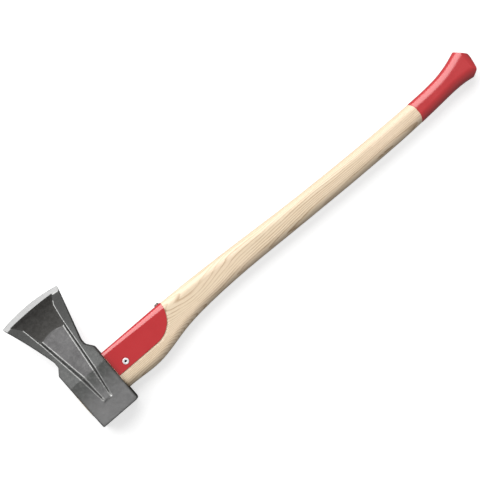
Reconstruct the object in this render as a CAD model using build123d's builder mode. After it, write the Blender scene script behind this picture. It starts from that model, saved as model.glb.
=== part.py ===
from build123d import *
import math
import os

# Splitting maul: a forged steel head wedged on an oval ash haft, with a sheet-steel guard
# over the neck and a dipped coat over the knob. Millimetres.
# The maul lies on one cheek. +X runs along the haft to its knob, +Y from the poll to the
# cutting edge, and +Z up through the thickness. The origin is the bottom centre of its box.

os.makedirs("parts", exist_ok=True)

# Overall size
overall_length = 819.6  # toe of the blade to the end of the knob, along X
head_length = 219.2  # poll face to cutting edge, along Y
head_thickness = 50.0  # across the poll, along Z
mid_z = head_thickness / 2
poll_y = -head_length / 2
edge_y = head_length / 2
knob_end_x = overall_length / 2
margin = 2.0  # how far a cutting shape runs past what it cuts

# Blade: a shallow arc for the cutting edge, a flatter arc where the ground bevel begins
toe_x = -overall_length / 2
heel_x = -300.9
edge_peak_x = -361.5
edge_radius = 272.0
edge_half = 0.2  # half the thickness of the edge itself
bevel_width = 8.9  # at the peak of the edge
bevel_line_radius = 335.0
bevel_half = 3.0  # half thickness of the blade where the bevel begins, at the peak
# Where along X the bevel's sections are cut, from just past the toe to just past the heel
bevel_stations = (toe_x - 4, toe_x + 22, edge_peak_x, heel_x - 28, heel_x + 4)
bevel_overrun = 0.5  # the grinding cut runs on by this share of the bevel at both ends
grind_clear = 30.0  # height of the grinding cut
side_curve = 1.6  # how far the toe side of the blade curves in
crease_y = -32.0  # the parallel cheeks of the eye block end here and the wedge begins

# Waist and eye block
waist_toe_x = -380.7
waist_haft_x = -326.9
waist_top_y = 15.5
waist_low_y = 6.5
waist_toe_low_y = 5.5
shoulder_y = -5.5
block_toe_x = -389.0
underside_x = -318.0  # the face of the eye block that the haft leaves from
poll_toe_x = -387.2
# Outline corner radii: waist, shoulder and poll on the haft side, then the toe side
outline_radii = (14.0, 6.0, 5.0, 4.0, 2.0, 5.0, 4.0)
forged_radius = 1.2  # along the outline of both cheeks
cheek_facing = 0.9  # a face that looks at least this much along Z is a cheek

# Cheek relief, the same on both cheeks: two ridges with a recessed panel between them.
# Stations: y, toe-side ridge x, panel's toe side x, panel's haft side x, haft-side ridge x,
# depth of the grooves beside the panel and depth of the panel
relief_stations = [
    (58.0, -379.6, -375.4, -332.2, -328.4, 2.5, 1.7),
    (crease_y, -366.3, -359.9, -342.1, -337.3, 2.5, 1.4),
    (-74.0, -361.8, -358.6, -346.9, -344.5, 1.4, 0.35),
    (-80.0, -361.3, -358.6, -347.6, -345.6, 0.05, 0.02),
]
relief_clear = 12.0  # height of the relief's cut above the cheek
# Between the panel and the bevel the blade is scooped out
panel_arc = [(-374.0, 51.2), (-355.8, 54.8), (-333.6, 50.2)]  # the panel's end
scoop_corners = [
    (-329.4, 50.8),
    (-327.0, 67.4),
    (-324.2, 84.0),
    (-312.5, 103.0),
    (-401.0, 103.0),
    (-385.0, 83.0),
    (-378.8, 50.8),
]
scoop_low_y = 34.0
scoop_high_y = 101.0
scoop_depth = 3.3

# Eye: an oval hole that widens from the underside to the top of the head
eye_y = -56.5
eye_low = (58.0, 25.0)  # along Y and Z, at the underside
eye_high = (61.0, 28.0)  # at the top
eye_gap = 0.1  # between the tenon and the eye
tenon_proud = 0.4  # the haft's end stands out of the head by this much

# Haft guard: one sheet bent round the front of the neck
sheet = 1.5
guard_gap = 0.8  # between the head and the guard
guard_front_y = -20.3
guard_low_y = -64.7
guard_overrun = 30.0  # the bent box is drawn this far past the guard's low edge
guard_end_x = -198.0
guard_curve_x = -241.0  # its rounded end starts here
guard_bite = 0.3  # the wood stands this far above the sheet's inner face beside the guard
guard_corner = (6.5, 11.5)  # outer bend radius at the head and at the far end

# Haft sections: x, front y, back y, thickness, corner radius. The first five are the neck.
haft_sections = [
    (-318.0, -21.5, -88.2, 28.6, 12.6),
    (-290.0, -21.5, -89.3, 28.5, 12.5),
    (-262.0, -21.5, -90.2, 28.4, 12.4),
    (-238.0, -21.5, -87.6, 28.3, 12.0),
    (-198.0, -21.4, -78.3, 28.0, 11.6),
    (-150.0, -22.6, -72.2, 27.6, 12.6),
    (-70.0, -26.4, -69.8, 27.2, 13.0),
    (45.0, -33.5, -72.6, 27.0, 13.1),
    (160.0, -37.8, -75.0, 26.8, 13.1),
    (257.0, -39.2, -75.0, 26.8, 13.1),
    (318.0, -38.6, -72.5, 27.4, 13.3),
    (352.0, -35.6, -70.5, 28.8, 13.9),
    (373.0, -30.2, -70.5, 30.4, 14.6),
    (392.0, -24.9, -72.2, 32.0, 15.3),
    (416.0, -22.0, -74.0, 32.6, 15.5),
]
haft_spans = 24  # the haft is drawn through sections at this many even steps

# Knob, from the side: facet at the front, slanted end face, round back
knob_facet_foot = (384.0, -14.2)
knob_front_corner = (410.2, -41.0)
knob_back_corner = (404.8, -66.5)
knob_back_foot = (388.0, -76.0)
knob_corner_radii = (6.0, 9.0)
knob_thickness = 33.0  # across the flat end, before its corners are rounded
knob_end_radius = 12.0
clear_of_haft = 500.0  # a distance from the origin that is outside the whole maul

# Grip coat: where it begins at the front and back edges, and how it bows on the cheeks
coat = 0.4
coat_start_x = 288.5
coat_bow_radius = 19.5

# Hollow rivet through the guard and the neck
rivet_at = (-295.9, -54.3)
rivet_hole = 1.8  # radius of its hollow core
rivet_barrel = 3.2
rivet_flange = 5.15
rivet_rim = 0.9
rivet_rounding = 0.72  # of the outer rims of both flanges
dimple_radius = 6.8
dimple_depth = 0.5
dimple_clear = 5.0  # height of the dimple's cut

# Round-head wood screw in the guard's front, near its far end
screw_x = -204.5
screw_head = 4.2
screw_head_height = 2.8
screw_shank = 1.7
screw_thread = 2.3
screw_length = 26.0
screw_plain = 8.0  # the stretch under the head that has no thread
screw_hole_depth = 4.5  # through the bend of the sheet
dome_point = (0.74, 0.68)  # on the head's dome, in shares of its radius and height
thread_pitch = 2.2
slot_width = 1.0
slot_depth = 1.2

# Wedges in the tenon
wedge_depth = 48.0
wedge_width = 54.0
wedge_thick = 6.5
wedge_tip = 0.8
ring_radius = 9.0
ring_wall = 1.8
ring_taper = 1.08  # its outside is this much smaller at the cutting end
ring_depth = 23.0


def along(x, x_from, x_to, start, end):
    """The value at x of a line that is start at x_from and end at x_to."""
    return start + (end - start) * (x - x_from) / (x_to - x_from)


def edge_line_y(x):
    """Y of the cutting edge."""
    return edge_y - edge_radius + math.sqrt(edge_radius**2 - (x - edge_peak_x) ** 2)


def bevel_line_y(x):
    """Y of the line where the ground bevel meets the forged cheek."""
    drop = bevel_line_radius - math.sqrt(bevel_line_radius**2 - (x - edge_peak_x) ** 2)
    return edge_y - bevel_width - drop


cheek_slope = (mid_z - bevel_half) / (edge_y - bevel_width - crease_y)


def cheek_half(y):
    """Half the thickness of the head between its plain cheeks, at y."""
    return mid_z - cheek_slope * max(0.0, y - crease_y)


def eye_section(x, gap):
    """The eye's oval at x, less a gap all round."""
    width = along(x, underside_x, block_toe_x, eye_low[0], eye_high[0]) - 2 * gap
    height = along(x, underside_x, block_toe_x, eye_low[1], eye_high[1]) - 2 * gap
    with BuildSketch(Plane.YZ.offset(x)) as section:
        with Locations((eye_y, mid_z)):
            Ellipse(width / 2, height / 2)
    return section.sketch


# ---------------------------------------------------------------------------- haft guard
guard_start_x = underside_x + guard_gap


def neck_thickness(x):
    """Thickness of the haft in the stretch that the guard covers."""
    first = haft_sections[0]
    last = haft_sections[4]
    return along(x, first[0], last[0], first[3], last[3])


def guard_section(x, inset):
    """The box that the guard is bent round at x, inset from the guard's outer face."""
    outer_half = neck_thickness(x) / 2 - guard_bite + sheet
    corner = along(x, guard_start_x, guard_end_x, *guard_corner)
    front = guard_front_y - inset
    back = guard_low_y - guard_overrun
    with BuildSketch(Plane.YZ.offset(x)) as section:
        with Locations(((front + back) / 2, mid_z)):
            RectangleRounded(front - back, 2 * (outer_half - inset), corner - inset)
    return section.sketch


with BuildPart() as haft_guard:
    loft([guard_section(x, 0) for x in (guard_start_x, guard_end_x)])
    loft([guard_section(x, sheet) for x in (guard_start_x, guard_end_x)], mode=Mode.SUBTRACT)
    with BuildSketch():
        straight = guard_curve_x - guard_start_x
        height = guard_front_y - guard_low_y
        with Locations((guard_start_x, guard_front_y)):
            Rectangle(straight, height, align=(Align.MIN, Align.MAX))
        with Locations((guard_curve_x, guard_front_y)):
            Ellipse(guard_end_x - guard_curve_x, height)
            with Locations((-straight, 0)):
                Rectangle(2 * height, 4 * height, align=(Align.MAX, Align.CENTER), mode=Mode.SUBTRACT)
    extrude(amount=head_thickness, mode=Mode.INTERSECT)
    guard_half = neck_thickness(rivet_at[0]) / 2 - guard_bite + sheet
    seat_half = guard_half - dimple_depth
    for side in (1, -1):
        with BuildSketch(Plane.XY.offset(mid_z + side * seat_half)):
            with Locations(rivet_at):
                Circle(dimple_radius)
        extrude(amount=side * dimple_clear, mode=Mode.SUBTRACT)
    with Locations((*rivet_at, head_thickness)):
        Hole(rivet_barrel)
    with Locations(Plane(origin=(screw_x, guard_front_y, mid_z), z_dir=(0, 1, 0))):
        Hole(screw_thread, depth=screw_hole_depth)
haft_guard.part.label = "haft_guard"
export_step(haft_guard.part, "parts/haft_guard.step")

# --------------------------------------------------------------------------- guard rivet
with BuildPart() as guard_rivet:
    with BuildSketch(Plane.XZ.offset(-rivet_at[1])):
        with BuildLine():
            Polyline(
                (rivet_at[0] + rivet_hole, mid_z - seat_half - rivet_rim),
                (rivet_at[0] + rivet_flange, mid_z - seat_half - rivet_rim),
                (rivet_at[0] + rivet_flange, mid_z - seat_half),
                (rivet_at[0] + rivet_barrel, mid_z - seat_half),
                (rivet_at[0] + rivet_barrel, mid_z + seat_half),
                (rivet_at[0] + rivet_flange, mid_z + seat_half),
                (rivet_at[0] + rivet_flange, mid_z + seat_half + rivet_rim),
                (rivet_at[0] + rivet_hole, mid_z + seat_half + rivet_rim),
                close=True,
            )
        make_face()
    revolve(axis=Axis((*rivet_at, 0), (0, 0, 1)))
    rims = guard_rivet.edges().filter_by(GeomType.CIRCLE).group_by(Axis.Z)
    fillet(rims[0] + rims[-1], rivet_rounding)
guard_rivet.part.label = "guard_rivet"
export_step(guard_rivet.part, "parts/guard_rivet.step")

# --------------------------------------------------------------------------- guard screw
with BuildPart() as guard_screw:
    with BuildSketch(Plane.XY.offset(mid_z)):
        with BuildLine():
            top = guard_front_y + screw_head_height
            Line((screw_x, top), (screw_x, guard_front_y - screw_length))
            points = [(screw_x, guard_front_y - screw_length)]
            y = guard_front_y - screw_length + 2 * thread_pitch
            while y < guard_front_y - screw_plain:
                points.append((screw_x + screw_shank, y - thread_pitch / 2))
                points.append((screw_x + screw_thread, y))
                y = y + thread_pitch
            points.append((screw_x + screw_shank, y - thread_pitch / 2))
            points.append((screw_x + screw_shank, guard_front_y))
            points.append((screw_x + screw_head, guard_front_y))
            Polyline(*points)
            ThreePointArc(
                (screw_x + screw_head, guard_front_y),
                (
                    screw_x + screw_head * dome_point[0],
                    guard_front_y + screw_head_height * dome_point[1],
                ),
                (screw_x, top),
            )
        make_face()
    revolve(axis=Axis((screw_x, 0, mid_z), (0, 1, 0)))
    with Locations((screw_x, top, mid_z)):
        Box(slot_width, 2 * slot_depth, 4 * screw_head, mode=Mode.SUBTRACT)
guard_screw.part.label = "guard_screw"
export_step(guard_screw.part, "parts/guard_screw.step")

# --------------------------------------------------------------------------- ring wedge
tenon_end_x = block_toe_x - tenon_proud
with BuildPart() as ring_wedge:
    with BuildSketch(Plane.XY.offset(mid_z)):
        with BuildLine():
            Polyline(
                (tenon_end_x, eye_y + ring_radius),
                (tenon_end_x + ring_depth, eye_y + ring_radius - ring_taper),
                (tenon_end_x + ring_depth, eye_y + ring_radius - ring_wall),
                (tenon_end_x, eye_y + ring_radius - ring_wall),
                close=True,
            )
        make_face()
    revolve(axis=Axis((0, eye_y, mid_z), (1, 0, 0)))
ring_wedge.part.label = "ring_wedge"
export_step(ring_wedge.part, "parts/ring_wedge.step")

# ---------------------------------------------------------------------------- eye wedge
with BuildPart() as eye_wedge:
    with BuildSketch(Plane.XZ.offset(-eye_y)):
        with BuildLine():
            Polyline(
                (tenon_end_x, mid_z - wedge_thick / 2),
                (tenon_end_x + wedge_depth, mid_z - wedge_tip / 2),
                (tenon_end_x + wedge_depth, mid_z + wedge_tip / 2),
                (tenon_end_x, mid_z + wedge_thick / 2),
                close=True,
            )
        make_face()
    extrude(amount=wedge_width / 2, both=True)
    add(ring_wedge.part, mode=Mode.SUBTRACT)
eye_wedge.part.label = "eye_wedge"
export_step(eye_wedge.part, "parts/eye_wedge.step")


# --------------------------------------------------------------------------------- haft
def haft_row(x):
    """Front y, back y, thickness and corner radius at x, on a smooth curve through the rows."""
    low = max(i for i in range(len(haft_sections) - 1) if haft_sections[i][0] <= x)
    near = [haft_sections[max(0, min(i, len(haft_sections) - 1))] for i in range(low - 1, low + 3)]
    before, start, end, after = near
    span = end[0] - start[0]
    t = (x - start[0]) / span
    row = []
    for k in range(1, len(start)):
        start_rise = span * (end[k] - before[k]) / (end[0] - before[0])
        end_rise = span * (after[k] - start[k]) / (after[0] - start[0])
        step = end[k] - start[k]
        bend = start_rise + end_rise - 2 * step
        row.append(start[k] + t * (start_rise + t * (step - start_rise + (t - 1) * bend)))
    return row


def haft_section(x, grow):
    """One oval section of the haft at x, grown all round."""
    front, back, thickness, corner = haft_row(x)
    with BuildSketch(Plane.YZ.offset(x)) as oval:
        with Locations(((front + back) / 2, mid_z)):
            RectangleRounded(front - back + 2 * grow, thickness + 2 * grow, corner + grow)
    return oval.sketch


def knob_side(grow):
    """The knob's end from the side: a facet at the front, a slanted face, a round back."""
    with BuildSketch() as outline:
        with BuildLine():
            knob = FilletPolyline(
                knob_facet_foot,
                knob_front_corner,
                knob_back_corner,
                knob_back_foot,
                radius=knob_corner_radii,
            )
            Polyline(
                knob_back_foot,
                (knob_back_foot[0], -clear_of_haft),
                (-clear_of_haft, -clear_of_haft),
                (-clear_of_haft, clear_of_haft),
                (knob_facet_foot[0], clear_of_haft),
                knob_facet_foot,
            )
        make_face()
        offset(amount=grow)
    return outline.sketch


def knob_front(grow):
    """The knob's end from the front, with its two corners rounded."""
    with BuildSketch(Plane.XZ) as outline:
        with Locations((knob_end_x - coat, mid_z)):
            Rectangle(2 * clear_of_haft, knob_thickness, align=(Align.MAX, Align.CENTER))
        fillet(outline.vertices().group_by(Axis.X)[-1], knob_end_radius)
        offset(amount=grow)
    return outline.sketch


def haft_body(grow):
    """The haft from the head's underside to the knob, grown all round."""
    with BuildPart() as body:
        step = (haft_sections[-1][0] - haft_sections[0][0]) / haft_spans
        stations = [haft_sections[0][0] + i * step for i in range(haft_spans)]
        loft([haft_section(x, grow) for x in (*stations, haft_sections[-1][0])])
        extrude(knob_side(grow), amount=head_thickness, mode=Mode.INTERSECT)
        extrude(knob_front(grow), amount=clear_of_haft, both=True, mode=Mode.INTERSECT)
    return body.part


with BuildPart() as haft:
    add(haft_body(0))
    loft([eye_section(x, eye_gap) for x in (tenon_end_x, underside_x)])
    add(haft_guard.part, mode=Mode.SUBTRACT)
    add(guard_screw.part, mode=Mode.SUBTRACT)
    add(ring_wedge.part, mode=Mode.SUBTRACT)
    add(eye_wedge.part, mode=Mode.SUBTRACT)
    with Locations((*rivet_at, head_thickness)):
        Hole(rivet_barrel)
haft.part.label = "haft"
export_step(haft.part, "parts/haft.step")

# ---------------------------------------------------------------------------- grip coat
with BuildPart() as grip_coat:
    add(haft_body(coat))
    with BuildSketch(Plane.XZ):
        with Locations((coat_start_x + coat_bow_radius, mid_z)):
            Circle(coat_bow_radius)
            Rectangle(clear_of_haft, 2 * coat_bow_radius, align=(Align.MIN, Align.CENTER))
    extrude(amount=clear_of_haft, both=True, mode=Mode.INTERSECT)
    add(haft.part, mode=Mode.SUBTRACT)
grip_coat.part.label = "grip_coat"
export_step(grip_coat.part, "parts/grip_coat.step")

# --------------------------------------------------------------------------- maul head
def head_outline():
    """The head from the side: block, shoulders, waist and flared blade."""
    with BuildSketch() as outline:
        with BuildLine():
            edge = ThreePointArc(
                (toe_x, edge_line_y(toe_x)), (edge_peak_x, edge_y), (heel_x, edge_line_y(heel_x))
            )
            body = FilletPolyline(
                edge @ 1,
                (waist_haft_x, waist_top_y),
                (waist_haft_x, waist_low_y),
                (underside_x, shoulder_y),
                (underside_x, poll_y),
                (poll_toe_x, poll_y),
                (block_toe_x, shoulder_y),
                (waist_toe_x, waist_toe_low_y),
                (waist_toe_x, waist_top_y),
                radius=outline_radii,
            )
            middle = ((edge @ 0) + (body @ 1)) / 2
            ThreePointArc(body @ 1, (middle.X + side_curve, middle.Y), edge @ 0)
        make_face()
    return outline.sketch


def bevel_section(x, side):
    """What the grindstone takes off one side of the edge, cut through at x."""
    inner = Vector(bevel_line_y(x), mid_z + side * cheek_half(bevel_line_y(x)))
    outer = Vector(edge_line_y(x), mid_z + side * edge_half)
    slant = inner - outer
    start = inner + slant * bevel_overrun
    end = outer - slant * bevel_overrun
    rise = side * grind_clear
    with BuildSketch(Plane.YZ.offset(x)) as section:
        with BuildLine():
            Polyline(start, end, (end.X, end.Y + rise), (start.X, start.Y + rise), close=True)
        make_face()
    return section.sketch


def relief_section(station):
    """The hollow between a cheek's two ridges, across the head: two grooves and a panel."""
    y, ridge_toe, panel_toe, panel_haft, ridge_haft, groove, panel = station
    cheek = mid_z + cheek_half(y)
    with BuildSketch(Plane.XZ.offset(-y)) as section:
        with BuildLine():
            Polyline(
                (ridge_toe, cheek),
                ((ridge_toe + panel_toe) / 2, cheek - groove),
                (panel_toe, cheek - panel),
                (panel_haft, cheek - panel),
                ((ridge_haft + panel_haft) / 2, cheek - groove),
                (ridge_haft, cheek),
                (ridge_haft, cheek + relief_clear),
                (ridge_toe, cheek + relief_clear),
                close=True,
            )
        make_face()
    return section.sketch


def on_cheek(point):
    """A point of the head's side view, in the plane of the sloping upper cheek."""
    return (point[0], (point[1] - crease_y) * math.hypot(1, cheek_slope))


with BuildPart() as scoop:
    slope_angle = math.atan(cheek_slope)
    cheek_plane = Plane(
        origin=(0, crease_y, head_thickness),
        x_dir=(1, 0, 0),
        z_dir=(0, math.sin(slope_angle), math.cos(slope_angle)),
    )
    with BuildSketch(cheek_plane):
        with BuildLine():
            panel_end = ThreePointArc(*[on_cheek(point) for point in panel_arc])
            Polyline(panel_end @ 1, *[on_cheek(point) for point in scoop_corners], panel_end @ 0)
        make_face()
    extrude(amount=scoop_depth + margin, both=True)
    with BuildSketch(Plane.YZ.offset(toe_x)):
        with BuildLine():
            low = Vector(scoop_low_y, mid_z + cheek_half(scoop_low_y))
            high = Vector(scoop_high_y, mid_z + cheek_half(scoop_high_y))
            across = (high - low).normalized()
            deepest = (low + high) / 2 + Vector(across.Y, -across.X) * scoop_depth
            ThreePointArc(low, deepest, high)
            Polyline(high, (high.X, head_thickness), (low.X, head_thickness), low)
        make_face()
    extrude(amount=heel_x - toe_x, mode=Mode.INTERSECT)

with BuildPart() as relief:
    loft([relief_section(station) for station in relief_stations], ruled=True)
    add(scoop.part)
    mirror(about=Plane.XY.offset(mid_z))

with BuildPart() as maul_head:
    extrude(head_outline(), amount=head_thickness)
    with BuildSketch(Plane.YZ.offset(toe_x - margin)):
        with BuildLine():
            Polyline(
                (poll_y - margin, 0),
                (crease_y, 0),
                (edge_y, mid_z - cheek_half(edge_y)),
                (edge_y, mid_z + cheek_half(edge_y)),
                (crease_y, head_thickness),
                (poll_y - margin, head_thickness),
                close=True,
            )
        make_face()
    extrude(amount=heel_x - toe_x + 2 * margin, mode=Mode.INTERSECT)
    # the forged corners run round both cheeks, but not along the crease or the cutting edge
    cheeks = maul_head.faces().filter_by(lambda face: abs(face.normal_at().Z) > cheek_facing)
    corners = cheeks.edges().filter_by(lambda edge: abs(edge.center().Y - crease_y) > 1)
    fillet(corners.filter_by(lambda edge: edge.center().Y < edge_y - bevel_width), forged_radius)
    for side in (1, -1):
        loft([bevel_section(x, side) for x in bevel_stations], mode=Mode.SUBTRACT)
    eye_ends = (block_toe_x - margin, underside_x + margin)
    loft([eye_section(x, 0) for x in eye_ends], mode=Mode.SUBTRACT)
    add(relief.part, mode=Mode.SUBTRACT)
maul_head.part.label = "maul_head"
export_step(maul_head.part, "parts/maul_head.step")
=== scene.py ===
import math

import bmesh
import bpy
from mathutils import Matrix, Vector, kdtree, noise


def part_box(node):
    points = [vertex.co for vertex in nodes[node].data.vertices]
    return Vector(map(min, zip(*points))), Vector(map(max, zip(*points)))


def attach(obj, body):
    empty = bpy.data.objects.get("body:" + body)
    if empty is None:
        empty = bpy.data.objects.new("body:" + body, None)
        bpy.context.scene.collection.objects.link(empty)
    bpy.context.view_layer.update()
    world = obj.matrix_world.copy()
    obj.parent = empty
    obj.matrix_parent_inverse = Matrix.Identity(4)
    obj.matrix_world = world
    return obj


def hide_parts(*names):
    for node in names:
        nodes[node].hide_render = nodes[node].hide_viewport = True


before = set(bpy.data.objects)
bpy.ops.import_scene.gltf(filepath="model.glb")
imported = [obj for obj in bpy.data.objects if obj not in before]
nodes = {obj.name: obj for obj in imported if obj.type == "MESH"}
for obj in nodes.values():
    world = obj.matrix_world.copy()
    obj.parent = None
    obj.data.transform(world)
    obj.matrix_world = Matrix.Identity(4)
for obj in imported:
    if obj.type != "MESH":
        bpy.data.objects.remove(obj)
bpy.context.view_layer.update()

# A splitting maul, lying on one cheek of its head on a pale floor.
# The row frame: +X along the haft to the knob, +Y from the poll to the cutting edge, +Z up.
MM = 0.001
scene = bpy.context.scene
head_low, head_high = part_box("maul_head")
guard_end_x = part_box("haft_guard")[1].x
rivet_low, rivet_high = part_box("guard_rivet")
rivet_middle = (rivet_low + rivet_high) / 2
mid_x = (head_low.x + head_high.x) / 2
mid_z = (head_low.z + head_high.z) / 2
crease_y = head_low.y + 77.6 * MM  # where the wedge of the blade begins on both cheeks


# ----------------------------------------------------------------- camera, light, floor
def point_at(thing, target):
    """Turns a light to face a point."""
    thing.rotation_euler = (target - thing.location).to_track_quat("-Z", "Y").to_euler()


def make_camera():
    """Straight above and far off, turned so that the haft climbs to the upper right."""
    climb = math.radians(40.8)
    lens = 250.0
    view_width = 738 * MM  # what the picture takes in across the maul's mid height
    centre = Vector((-42 * MM, -28.1 * MM, mid_z))
    data = bpy.data.cameras.new("camera")
    data.lens = lens
    camera = bpy.data.objects.new("camera", data)
    scene.collection.objects.link(camera)
    camera.location = centre + Vector((0, 0, view_width * lens / data.sensor_width))
    camera.rotation_euler = (0, 0, -climb)
    scene.camera = camera


def make_light():
    """One large soft box on the blade's side and a dim even surround. Lengths are metres."""
    data = bpy.data.lights.new("soft_box", "AREA")
    data.shape = "RECTANGLE"
    data.size = 5.0
    data.size_y = 4.6
    radiance = 3.0
    data.energy = radiance * math.pi * data.size * data.size_y
    box = bpy.data.objects.new("soft_box", data)
    scene.collection.objects.link(box)
    distance = 3.0
    tilt = math.radians(53)
    box.location = Vector((0, math.sin(tilt), math.cos(tilt))) * distance
    point_at(box, Vector((0, 0, 0)))
    box.visible_camera = False
    world = bpy.data.worlds.new("surround")
    world.use_nodes = True
    background = world.node_tree.nodes["Background"]
    background.inputs["Color"].default_value = (1, 1, 1, 1)
    background.inputs["Strength"].default_value = 0.36
    scene.world = world
    scene.view_settings.view_transform = "Standard"


def make_floor():
    """A plain pale floor under the maul."""
    mesh = bpy.data.meshes.new("floor")
    half = 6.0
    corners = [(-half, -half, 0), (half, -half, 0), (half, half, 0), (-half, half, 0)]
    mesh.from_pydata(corners, [], [(0, 1, 2, 3)])
    floor = bpy.data.objects.new("floor", mesh)
    scene.collection.objects.link(floor)
    floor.location.z = -0.2 * MM
    g = Graph("floor")
    # the camera sees it pale, and the maul sees it dim, so that it doesn't wash out the metal
    seen = g.node("LightPath").outputs["Is Camera Ray"]
    grain = g.noise(g.place(), 900, 2, 0.5)
    pale = g.mix(grain, (0.56, 0.56, 0.56), (0.6, 0.6, 0.6))
    colour = g.mix(seen, (0.2, 0.2, 0.2), pale)
    glow = g.math("MULTIPLY", seen, 0.62)
    material = g.finish(
        Base_Color=colour, Roughness=0.9, Emission_Color=(1, 1, 1), Emission_Strength=glow
    )
    mesh.materials.append(material)


# ------------------------------------------------------------------------- node helpers
class Graph:
    """A short way to write one material's nodes."""

    def __init__(self, name):
        self.material = bpy.data.materials.new(name)
        self.material.use_nodes = True
        self.tree = self.material.node_tree
        self.shader = self.tree.nodes["Principled BSDF"]

    def node(self, kind, inputs=(), **settings):
        """Adds a node. Each input is a socket to link or a value to set."""
        made = self.tree.nodes.new("ShaderNode" + kind)
        for name, value in settings.items():
            setattr(made, name, value)
        for key, value in dict(inputs).items():
            self.put(made.inputs[key], value)
        return made

    def put(self, socket, value):
        """Links a socket to another node's output, or sets its value."""
        if isinstance(value, bpy.types.NodeSocket):
            self.tree.links.new(value, socket)
        elif isinstance(value, tuple) and len(value) == 3 and socket.type == "RGBA":
            socket.default_value = (*value, 1)
        else:
            socket.default_value = value

    def place(self, scale=(1, 1, 1), move=(0, 0, 0)):
        """The row frame's coordinates, stretched and moved."""
        coordinates = self.node("TexCoord").outputs["Object"]
        mapping = self.node("Mapping", {"Vector": coordinates, "Scale": scale, "Location": move})
        return mapping.outputs["Vector"]

    def noise(self, vector, scale, detail, rough):
        """Uneven values about 0.5, with this many lumps to the metre."""
        inputs = {"Vector": vector, "Scale": scale, "Detail": detail, "Roughness": rough}
        return self.node("TexNoise", inputs).outputs["Fac"]

    def math(self, operation, first, second=0.0, third=0.0):
        """One sum, such as ADD or MULTIPLY_ADD, of sockets or numbers."""
        made = self.node("Math", operation=operation)
        for socket, value in zip(made.inputs, (first, second, third)):
            self.put(socket, value)
        return made.outputs[0]

    def span(self, value, low, high, out_low=0.0, out_high=1.0):
        """Maps low..high to out_low..out_high, smoothly and clamped."""
        inputs = {0: value, 1: low, 2: high, 3: out_low, 4: out_high}
        return self.node("MapRange", inputs, interpolation_type="SMOOTHSTEP").outputs[0]

    def mix(self, factor, first, second):
        """A colour between two colours."""
        made = self.node("Mix", data_type="RGBA")
        self.put(made.inputs["Factor"], factor)
        self.put(made.inputs[6], first)
        self.put(made.inputs[7], second)
        return made.outputs[2]

    def attribute(self, name):
        """A mark that the mesh carries."""
        return self.node("Attribute", attribute_name=name).outputs["Fac"]

    def bump(self, height, distance, strength):
        """Tilts the surface as if a height of 1 stood out by this distance."""
        inputs = {"Height": height, "Distance": distance, "Strength": strength}
        return self.node("Bump", inputs).outputs["Normal"]

    def finish(self, **inputs):
        """Sets the shader's sockets; an underscore in a name stands for a space."""
        for name, value in inputs.items():
            self.put(self.shader.inputs[name.replace("_", " ")], value)
        return self.material


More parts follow.
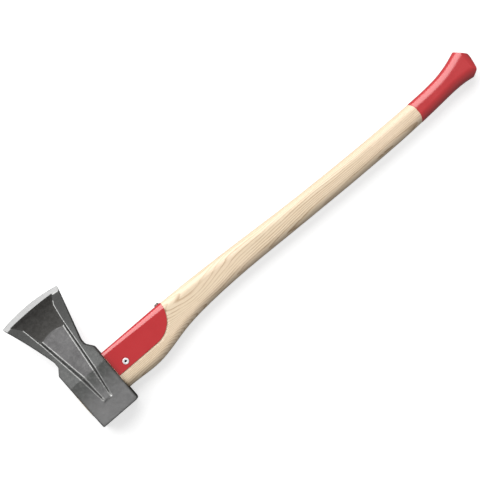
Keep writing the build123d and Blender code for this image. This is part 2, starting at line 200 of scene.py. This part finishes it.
# ---------------------------------------------------------------------------- materials
def forged_steel():
    """Dark forged steel: scale in the hollows, bright ridges that are partly worn and partly a
    painted highlight, painted shade in the grooves, and a ground bevel.
    """
    g = Graph("forged_steel")
    place = g.place()
    ground = g.attribute("ground")
    wear_and_highlight = g.attribute("wear_and_highlight")
    hollow = g.attribute("hollow")
    groove_shade = g.attribute("groove_shade")
    panel = g.attribute("panel")
    rim = g.attribute("rim")
    height_y = g.node("SeparateXYZ", {"Vector": place}).outputs["Y"]
    broad = g.noise(place, 30, 4, 0.6)
    middle = g.noise(place, 160, 5, 0.65)
    fine = g.noise(place, 900, 3, 0.7)
    speck = g.noise(place, 2600, 2, 0.6)
    # the blade's flanks have one tone, and the block is dark at the crease and pale at the poll;
    # the paling towards the poll is painted light
    patches = g.span(broad, 0.35, 0.65)
    flank = g.mix(patches, (0.09, 0.092, 0.09), (0.112, 0.114, 0.112))
    lit_poll = g.mix(patches, (0.2, 0.199, 0.199), (0.235, 0.233, 0.233))
    block = g.mix(g.span(broad, 0.3, 0.7), (0.088, 0.091, 0.087), (0.106, 0.108, 0.105))
    # painted light: the block grows paler towards the poll
    poll_light_share = g.span(height_y, crease_y, head_low.y + 12 * MM)
    block = g.mix(poll_light_share, block, lit_poll)
    skin = g.mix(g.math("LESS_THAN", height_y, crease_y), flank, block)
    skin = g.mix(panel, skin, g.mix(patches, (0.09, 0.088, 0.089), (0.115, 0.113, 0.114)))
    # paler clouds and specks
    clouds = g.math("MULTIPLY", g.span(middle, 0.42, 0.7), 0.22)
    skin = g.mix(clouds, skin, (0.3, 0.3, 0.295))
    skin = g.mix(g.span(fine, 0.55, 0.8, 0, 0.16), skin, (0.32, 0.32, 0.315))
    # darker towards the bevel; dark scale in the scoops and along the walls; painted shade down in
    # the grooves
    near_bevel = g.span(height_y, crease_y, head_high.y - 18 * MM, 0.0, 0.75)
    bevel_darkening = g.math("MULTIPLY", near_bevel, g.math("SUBTRACT", 1.0, panel))
    skin = g.mix(bevel_darkening, skin, (0.034, 0.034, 0.033))
    scoop = g.mix(g.span(middle, 0.35, 0.7), (0.028, 0.0268, 0.025), (0.047, 0.0455, 0.043))
    colour = g.mix(g.math("MULTIPLY", hollow, 0.94), skin, scoop)
    patchy_rim = g.math("MULTIPLY", rim, g.span(middle, 0.3, 0.6, 0.5, 0.9))
    colour = g.mix(patchy_rim, colour, (0.058, 0.058, 0.056))
    # painted shade: near black along the valleys of the grooves
    colour = g.mix(g.math("MULTIPLY", groove_shade, 0.6), colour, (0.016, 0.0155, 0.015))
    # bright steel along the ridges, partly wear and partly a painted highlight; along the scoops'
    # sides it is all painted highlight
    patchiness = g.span(g.noise(place, 220, 4, 0.6), 0.25, 0.6, 0.55, 1.0)
    patchy_wear_and_highlight = g.math("MULTIPLY", wear_and_highlight, patchiness)
    colour = g.mix(patchy_wear_and_highlight, colour, (0.5, 0.5, 0.49))
    # the ground bevel, with lines left by the stone across it
    lines = g.noise(g.place(scale=(1, 0.03, 0.03)), 2600, 3, 0.7)
    bevel = g.mix(g.span(lines, 0.3, 0.7), (0.2, 0.2, 0.2), (0.29, 0.29, 0.288))
    colour = g.mix(ground, colour, bevel)
    rough = g.math("ADD", g.span(middle, 0.3, 0.7, 0.42, 0.54), g.span(fine, 0.4, 0.8, 0.0, 0.1))
    rough = g.math("SUBTRACT", rough, g.math("MULTIPLY", patchy_wear_and_highlight, 0.1))
    rough = g.mix(ground, rough, g.span(lines, 0.3, 0.7, 0.34, 0.46))
    forged = g.math("ADD", g.math("MULTIPLY", middle, 0.6), g.math("MULTIPLY", fine, 0.28))
    forged = g.math("ADD", forged, g.math("MULTIPLY", speck, 0.1))
    stone = g.math("MULTIPLY", lines, 0.08)
    unground = g.math("SUBTRACT", 1.0, ground)
    height = g.math("MULTIPLY", forged, unground)
    height = g.math("ADD", height, g.math("MULTIPLY", stone, ground))
    normal = g.bump(height, 0.45 * MM, 0.9)
    return g.finish(Base_Color=colour, Metallic=0.85, Roughness=rough, Normal=normal)


def ash_wood():
    """Pale ash: growth rings about a pith under the haft's front, pores along the grain."""
    g = Graph("ash_wood")
    place = g.place()
    x, y, z = g.node("SeparateXYZ", {"Vector": place}).outputs
    # the grain wanders slowly along the haft
    sway = g.noise(g.place(scale=(0.11, 1, 1)), 20, 2, 0.5)
    swirl = g.noise(g.place(scale=(0.22, 1, 1), move=(3.1, 0, 0)), 55, 2, 0.5)
    # the pith comes nearest the upper side just beyond the guard and dives away from there
    rise_x = guard_end_x + 46 * MM
    rise_y = -37.5 * MM
    rise_z = mid_z - 11 * MM
    pith_slant = -0.004
    dive_length = 100 * MM
    dive_depth = 4.8 * MM
    from_rise = g.math("SUBTRACT", x, rise_x)
    pith_y = g.math("MULTIPLY_ADD", from_rise, pith_slant, rise_y)
    dive = g.span(g.math("ABSOLUTE", from_rise), 0.0, dive_length, 0.0, dive_depth)
    depth = g.math("ADD", g.math("SUBTRACT", z, rise_z), dive)
    side = g.math("SUBTRACT", y, pith_y)
    square = g.math("MULTIPLY_ADD", side, side, g.math("MULTIPLY", depth, depth))
    radius = g.math("SQRT", square)
    radius = g.math("MULTIPLY_ADD", g.math("SUBTRACT", sway, 0.5), 10 * MM, radius)
    radius = g.math("MULTIPLY_ADD", g.math("SUBTRACT", swirl, 0.5), 2.8 * MM, radius)
    ring_width = 1.6 * MM
    drift = g.span(x, -80 * MM, 80 * MM, 0.0, 0.45)
    rings = g.math("MULTIPLY_ADD", radius, 1 / ring_width, drift)
    phase = g.math("FRACT", rings)
    # each ring starts as a sharp dark line of early wood that fades out across it
    early = g.math("MULTIPLY", g.span(phase, 0.5, 0.02), g.span(phase, 0.0, 0.07))
    strength = g.noise(g.place(scale=(0.2, 1, 1), move=(0, 0, 5)), 60, 2, 0.5)
    early = g.math("MULTIPLY", early, g.span(strength, 0.3, 0.65, 0.35, 1.0))
    # pores are short dark dashes along the grain, thick in the early wood
    pores = g.noise(g.place(scale=(0.045, 1, 1)), 2300, 2, 0.6)
    fibres = g.noise(g.place(scale=(0.02, 1, 1)), 900, 4, 0.65)
    pore = g.math("MULTIPLY", g.span(pores, 0.52, 0.66), g.math("MULTIPLY_ADD", early, 0.85, 0.15))
    warm = g.noise(g.place(scale=(0.3, 1, 1), move=(7, 0, 0)), 26, 3, 0.5)
    colour = g.mix(g.span(warm, 0.3, 0.7), (0.75, 0.625, 0.455), (0.785, 0.625, 0.46))
    colour = g.mix(g.span(fibres, 0.35, 0.7, 0, 0.6), colour, (0.68, 0.53, 0.35))
    colour = g.mix(g.math("MULTIPLY", early, 0.92), colour, (0.43, 0.275, 0.145))
    colour = g.mix(g.math("MULTIPLY", pore, 0.6), colour, (0.3, 0.19, 0.1))
    rough = g.span(fibres, 0.3, 0.7, 0.42, 0.56)
    height = g.math("SUBTRACT", g.math("MULTIPLY", fibres, 0.3), g.math("MULTIPLY", pore, 0.7))
    height = g.math("SUBTRACT", height, g.math("MULTIPLY", early, 0.25))
    normal = g.bump(height, 0.12 * MM, 0.8)
    return g.finish(
        Base_Color=colour,
        Roughness=rough,
        Normal=normal,
        Specular_IOR_Level=0.4,
        Coat_Weight=0.55,
        Coat_Roughness=0.36,
    )


def red_paint(name, orange_peel, rough_from, coat_rough):
    """Glossy red paint with a faint orange peel and dust."""
    g = Graph(name)
    place = g.place()
    broad = g.noise(place, 40, 3, 0.5)
    peel = g.noise(place, 420, 2, 0.5)
    motes = g.noise(place, 2100, 2, 0.6)
    colour = g.mix(g.span(broad, 0.3, 0.7), (0.48, 0.011, 0.016), (0.5, 0.013, 0.018))
    colour = g.mix(g.span(motes, 0.68, 0.85, 0, 0.3), colour, (0.32, 0.012, 0.017))
    speckle = g.span(motes, 0.6, 0.8, 0, 0.08)
    rough = g.math("ADD", g.span(broad, 0.3, 0.7, rough_from, rough_from + 0.05), speckle)
    height = g.math("ADD", g.math("MULTIPLY", peel, 0.8), g.math("MULTIPLY", motes, 0.08))
    normal = g.bump(height, orange_peel, 0.7)
    return g.finish(
        Base_Color=colour,
        Roughness=rough,
        Normal=normal,
        Coat_Weight=1.0,
        Coat_Roughness=coat_rough,
        Coat_IOR=1.62,
    )


def zinc_plate():
    """Bright zinc with a faint crystalline mottle, and painted shade in the rivet's bore."""
    g = Graph("zinc_plate")
    place = g.place()
    mottle = g.noise(place, 700, 4, 0.6)
    scratch = g.noise(g.place(scale=(1, 0.2, 1)), 3000, 3, 0.6)
    colour = g.mix(g.span(mottle, 0.3, 0.7), (0.78, 0.79, 0.8), (0.92, 0.92, 0.93))
    # painted shade darkens the zinc within this distance of the rivet's axis, where the bore is
    # deep
    bore_shade_radius = 1.75 * MM
    fade = 0.35 * MM
    middle = tuple(rivet_middle)
    centred = g.node("VectorMath", {0: place, 1: middle}, operation="SUBTRACT").outputs[0]
    flat = g.node("VectorMath", {0: centred, 1: (1, 1, 0)}, operation="MULTIPLY").outputs[0]
    away = g.node("VectorMath", {0: flat}, operation="LENGTH").outputs["Value"]
    bore_shade = g.span(away, bore_shade_radius, bore_shade_radius + fade, 0.93, 0.0)
    colour = g.mix(bore_shade, colour, (0.012, 0.011, 0.01))
    rough = g.math("ADD", g.span(scratch, 0.3, 0.7, 0.28, 0.42), g.math("MULTIPLY", bore_shade, 0.4))
    metal = g.math("MULTIPLY", g.math("SUBTRACT", 1.0, bore_shade), 0.55)
    normal = g.bump(g.math("ADD", mottle, g.math("MULTIPLY", scratch, 0.5)), 0.05 * MM, 0.6)
    return g.finish(Base_Color=colour, Metallic=metal, Roughness=rough, Normal=normal)


def dark_zinc():
    """Zinc plate gone dull and dark, with bright spots where a driver has slipped."""
    g = Graph("dark_zinc")
    place = g.place()
    mottle = g.noise(place, 900, 4, 0.6)
    colour = g.mix(g.span(mottle, 0.45, 0.75), (0.075, 0.06, 0.052), (0.3, 0.28, 0.26))
    rough = g.span(mottle, 0.3, 0.7, 0.34, 0.5)
    normal = g.bump(mottle, 0.05 * MM, 0.6)
    return g.finish(Base_Color=colour, Metallic=0.8, Roughness=rough, Normal=normal)


def bare_steel():
    """Turned steel, a little oxidised."""
    g = Graph("bare_steel")
    place = g.place()
    spots = g.noise(place, 500, 4, 0.6)
    turned = g.noise(g.place(scale=(1, 0.1, 0.1)), 4000, 2, 0.5)
    colour = g.mix(g.span(spots, 0.45, 0.7), (0.36, 0.36, 0.35), (0.2, 0.17, 0.14))
    rough = g.span(turned, 0.3, 0.7, 0.34, 0.5)
    normal = g.bump(turned, 0.05 * MM, 0.6)
    return g.finish(Base_Color=colour, Metallic=0.9, Roughness=rough, Normal=normal)


def beech_wedge():
    """Sawn beech with short flecks."""
    g = Graph("beech_wedge")
    fleck = g.noise(g.place(scale=(0.08, 1, 1)), 1300, 3, 0.6)
    tone = g.noise(g.place(scale=(0.3, 1, 1)), 90, 3, 0.5)
    colour = g.mix(g.span(tone, 0.3, 0.7), (0.5, 0.31, 0.18), (0.6, 0.4, 0.25))
    colour = g.mix(g.span(fleck, 0.52, 0.66, 0, 0.7), colour, (0.3, 0.16, 0.08))
    return g.finish(Base_Color=colour, Roughness=0.62, Normal=g.bump(fleck, 0.1 * MM, 0.7))


def bore_shade_dark():
    """Near black and rough: painted shade for the deep bore of the rivet."""
    g = Graph("bore_shade_dark")
    grain = g.noise(g.place(), 1800, 4, 0.7)
    colour = g.mix(grain, (0.008, 0.006, 0.005), (0.05, 0.035, 0.024))
    return g.finish(Base_Color=colour, Roughness=0.95, Normal=g.bump(grain, 0.3 * MM, 0.8))


# ------------------------------------------------------------------ detailed CAD copies
def fine_copy(node, longest_edge):
    """A copy of a CAD node's mesh as one closed skin, its long edges split."""
    same_place = 0.0005 * MM
    most_splits = 9
    skin = bmesh.new()
    skin.from_mesh(nodes[node].data)
    bmesh.ops.remove_doubles(skin, verts=skin.verts, dist=same_place)
    bmesh.ops.dissolve_degenerate(skin, edges=skin.edges, dist=same_place)
    bmesh.ops.triangulate(skin, faces=skin.faces)
    for _ in range(most_splits):
        long_edges = [edge for edge in skin.edges if edge.calc_length() > longest_edge]
        if not long_edges:
            break
        bmesh.ops.subdivide_edges(
            skin, edges=long_edges, cuts=1, use_grid_fill=True, use_single_edge=True
        )
        quads = [face for face in skin.faces if len(face.verts) > 3]
        bmesh.ops.triangulate(skin, faces=quads, quad_method="SHORT_EDGE")
    return skin


def place_copy(skin, node, material, crease_degrees):
    """Turns a skin into the visible piece that stands for a CAD node."""
    mesh = bpy.data.meshes.new(node + "_detailed")
    skin.to_mesh(mesh)
    skin.free()
    mesh.materials.clear()
    mesh.materials.append(material)
    mesh.shade_smooth()
    mesh.set_sharp_from_angle(angle=math.radians(crease_degrees))
    piece = bpy.data.objects.new(node + "_detailed", mesh)
    scene.collection.objects.link(piece)
    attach(piece, "root")
    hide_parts(node)


def grow_region(skin, seed, crease_degrees):
    """The faces round the one nearest to seed, as far as the next crease."""
    start = min(skin.faces, key=lambda face: (face.calc_center_median() - seed).length_squared)
    limit = math.radians(crease_degrees)
    region = {start}
    front = [start]
    while front:
        face = front.pop()
        for edge in face.edges:
            for other in edge.link_faces:
                if other not in region and face.normal.angle(other.normal, 0) < limit:
                    region.add(other)
                    front.append(other)
    return region


def along_folds(edges):
    """Points close together along these edges."""
    steps = 8
    points = []
    for edge in edges:
        start, end = (vertex.co for vertex in edge.verts)
        points += [start.lerp(end, step / steps) for step in range(steps + 1)]
    return points


def nearness(skin, points, reach):
    """For each vertex, 1 at the given points, falling to 0 at reach from them."""
    tree = kdtree.KDTree(len(points))
    for index, point in enumerate(points):
        tree.insert(point, index)
    tree.balance()
    return [max(0.0, 1.0 - tree.find(vertex.co)[2] / reach) for vertex in skin.verts]


def thick_enough(face):
    """False for the slivers that a tessellation leaves, whose normals mean nothing."""
    thinnest = 0.02 * MM
    longest = max(edge.calc_length() for edge in face.edges)
    return 2 * face.calc_area() / longest > thinnest


# ----------------------------------------------------------------------------- the head
relief_fold = math.radians(9)  # a bend in the cheek counts as a fold from this angle
wall_tilt = 0.45  # a surface that looks less than this much along Z is a wall
relief_tilt = 0.62  # and the relief's own slopes look more than this much along Z
crease_width = 0.3 * MM  # an edge this close to crease_y belongs to the crease
relief_high_y = head_high.y - 12 * MM  # past this an edge counts as the bevel's
# the stretch in which the folds along a scoop's sides get the ridges' bright mark, there all
# painted highlight
scoop_side_low_y = head_high.y - 62 * MM
scoop_side_high_y = head_high.y - 20 * MM


def is_relief_edge(edge):
    """True for a fold in a cheek's relief, but not for the crease across it or the bevel."""
    across = max(abs(vertex.co.y - crease_y) for vertex in edge.verts) < crease_width
    by_bevel = max(vertex.co.y for vertex in edge.verts) > relief_high_y
    on_cheek = all(abs(face.normal.z) > relief_tilt for face in edge.link_faces)
    return on_cheek and not across and not by_bevel


def is_lengthwise(edge):
    """True if the edge runs mostly from the poll towards the blade."""
    least_share = 0.8
    start, end = (vertex.co for vertex in edge.verts)
    return abs(start.y - end.y) > least_share * (start - end).length


def is_scoop_side(edge):
    """True for the fold along either side of a scoop, where it meets the blade's flank."""
    ys = [vertex.co.y for vertex in edge.verts]
    beside = scoop_side_low_y < min(ys) and max(ys) < scoop_side_high_y
    return beside and is_lengthwise(edge)


def marks(layers, names):
    """A number layer for each name. All are made before any is used, as each new one moves them."""
    for name in names:
        layers.new(name)
    return {name: layers[name] for name in names}


def mark_regions(skin, layers):
    """Marks the faces of the bevels, the scoops and the panels, on both cheeks."""
    # A region grows from the face nearest to a seed. For each: the seed's distance from the
    # cutting edge, its height over mid_z, and the bend in degrees that the region stops at.
    seeds = {"ground": (4, 1.5, 7), "hollow": (35, 5, 9), "panel": (80, 12, 3)}
    panel_low_mark = 0.55  # below the crease the panel's tone comes nearer to the block's
    regions = {}
    for name, (from_edge, from_middle, bend) in seeds.items():
        regions[name] = set()
        for side in (1, -1):
            seed = (mid_x, head_high.y - from_edge * MM, mid_z + side * from_middle * MM)
            regions[name] |= grow_region(skin, Vector(seed), bend)
        for face in regions[name]:
            low = name == "panel" and face.calc_center_median().y < crease_y
            face[layers[name]] = panel_low_mark if low else 1.0
    return regions


def find_folds(skin, regions, rim):
    """The ridges and the valleys of the relief, as edges."""
    most_rim = 0.3
    least_floor = 0.05
    clear_of_walls = {vertex for vertex, value in zip(skin.verts, rim) if value < most_rim}
    floor = [vertex.co for face in regions["hollow"] for vertex in face.verts]
    near_floor = zip(skin.verts, nearness(skin, floor, reach=5 * MM))
    by_scoop = {vertex for vertex, value in near_floor if value > least_floor}
    ridges = []
    valleys = []
    for edge in skin.edges:
        angle = edge.calc_face_angle_signed(0)
        if abs(angle) <= relief_fold:
            continue
        true_fold = all(thick_enough(face) for face in edge.link_faces)
        in_relief = true_fold and clear_of_walls.issuperset(edge.verts) and is_relief_edge(edge)
        beside_scoop = true_fold and by_scoop.issuperset(edge.verts) and is_scoop_side(edge)
        # slivers lie along the panel's sides, so those folds are known by their region
        beside_panel = regions["panel"].intersection(edge.link_faces) and is_lengthwise(edge)
        if angle < 0 and in_relief:
            valleys.append(edge)
        elif angle > 0 and (in_relief or beside_scoop or beside_panel):
            ridges.append(edge)
    return ridges, valleys


def make_head():
    """The forged head, marked with its ridges, partly worn and partly given a painted highlight,
    the painted shade of its grooves, its hollows and its ground bevel.
    """
    skin = fine_copy("maul_head", longest_edge=2.2 * MM)
    face_layers = marks(skin.faces.layers.float, ("ground", "hollow", "panel"))
    vertex_layers = marks(skin.verts.layers.float, ("wear_and_highlight", "groove_shade", "rim"))
    regions = mark_regions(skin, face_layers)
    walls = [vertex.co for vertex in skin.verts if abs(vertex.normal.z) < wall_tilt]
    rim = nearness(skin, walls, reach=3.2 * MM)
    ridges, valleys = find_folds(skin, regions, rim)
    near = {
        # wear and painted highlight along the ridges
        "wear_and_highlight": nearness(skin, along_folds(ridges), reach=1.35 * MM),
        # painted shade along the valleys of the grooves
        "groove_shade": nearness(skin, along_folds(valleys), reach=1.1 * MM),
        "rim": rim,
    }
    for name, values in near.items():
        for vertex, value in zip(skin.verts, values):
            vertex[vertex_layers[name]] = value
    place_copy(skin, "maul_head", forged_steel(), crease_degrees=24)


# ------------------------------------------------------------------------- rivet's bore
def make_bore_shade_plug():
    """A near black, rough round plug half way through the hollow rivet's bore: painted shade for
    the deep bore.
    """
    skin = bmesh.new()
    radius = 1.7 * MM
    crown = 0.5 * MM
    lump_height = 0.25 * MM
    lumps_per_metre = 1500
    thickness = 1.5 * MM
    rings = 6
    spokes = 28
    rows = []
    for ring in range(rings):
        across = radius * (1 - (ring / rings) ** 2)
        row = []
        for spoke in range(spokes):
            turn = 2 * math.pi * spoke / spokes
            point = Vector((across * math.cos(turn), across * math.sin(turn), 0))
            lump = noise.noise(point * lumps_per_metre) * lump_height
            lift = (1 - (across / radius) ** 2) * crown + lump * (1 - across / radius)
            row.append(skin.verts.new(rivet_middle + point + Vector((0, 0, lift))))
        rows.append(row)
    lower = [skin.verts.new(vertex.co - Vector((0, 0, thickness))) for vertex in rows[0]]
    for outer, inner in zip([lower] + rows, rows):
        for spoke in range(spokes):
            after = (spoke + 1) % spokes
            skin.faces.new((outer[spoke], outer[after], inner[after], inner[spoke]))
    skin.faces.new(rows[-1])
    skin.faces.new(list(reversed(lower)))
    mesh = bpy.data.meshes.new("bore_shade_plug")
    skin.to_mesh(mesh)
    skin.free()
    # the plug's near black material is painted shade
    mesh.materials.append(bore_shade_dark())
    mesh.shade_smooth()
    plug = bpy.data.objects.new("bore_shade_plug", mesh)
    scene.collection.objects.link(plug)
    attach(plug, "root")


def main():
    make_camera()
    make_light()
    make_floor()
    make_head()
    make_bore_shade_plug()
    wood_skin = fine_copy("haft", longest_edge=6 * MM)
    place_copy(wood_skin, "haft", ash_wood(), crease_degrees=34)
    powder = red_paint("red_powder_coat", orange_peel=0.04 * MM, rough_from=0.16, coat_rough=0.1)
    dip = red_paint("red_dip", orange_peel=0.06 * MM, rough_from=0.3, coat_rough=0.26)
    materials = {
        "haft_guard": powder,
        "grip_coat": dip,
        "guard_rivet": zinc_plate(),
        "guard_screw": dark_zinc(),
        "eye_wedge": beech_wedge(),
        "ring_wedge": bare_steel(),
    }
    for node, material in materials.items():
        for slot in nodes[node].material_slots:
            slot.material = material


main()
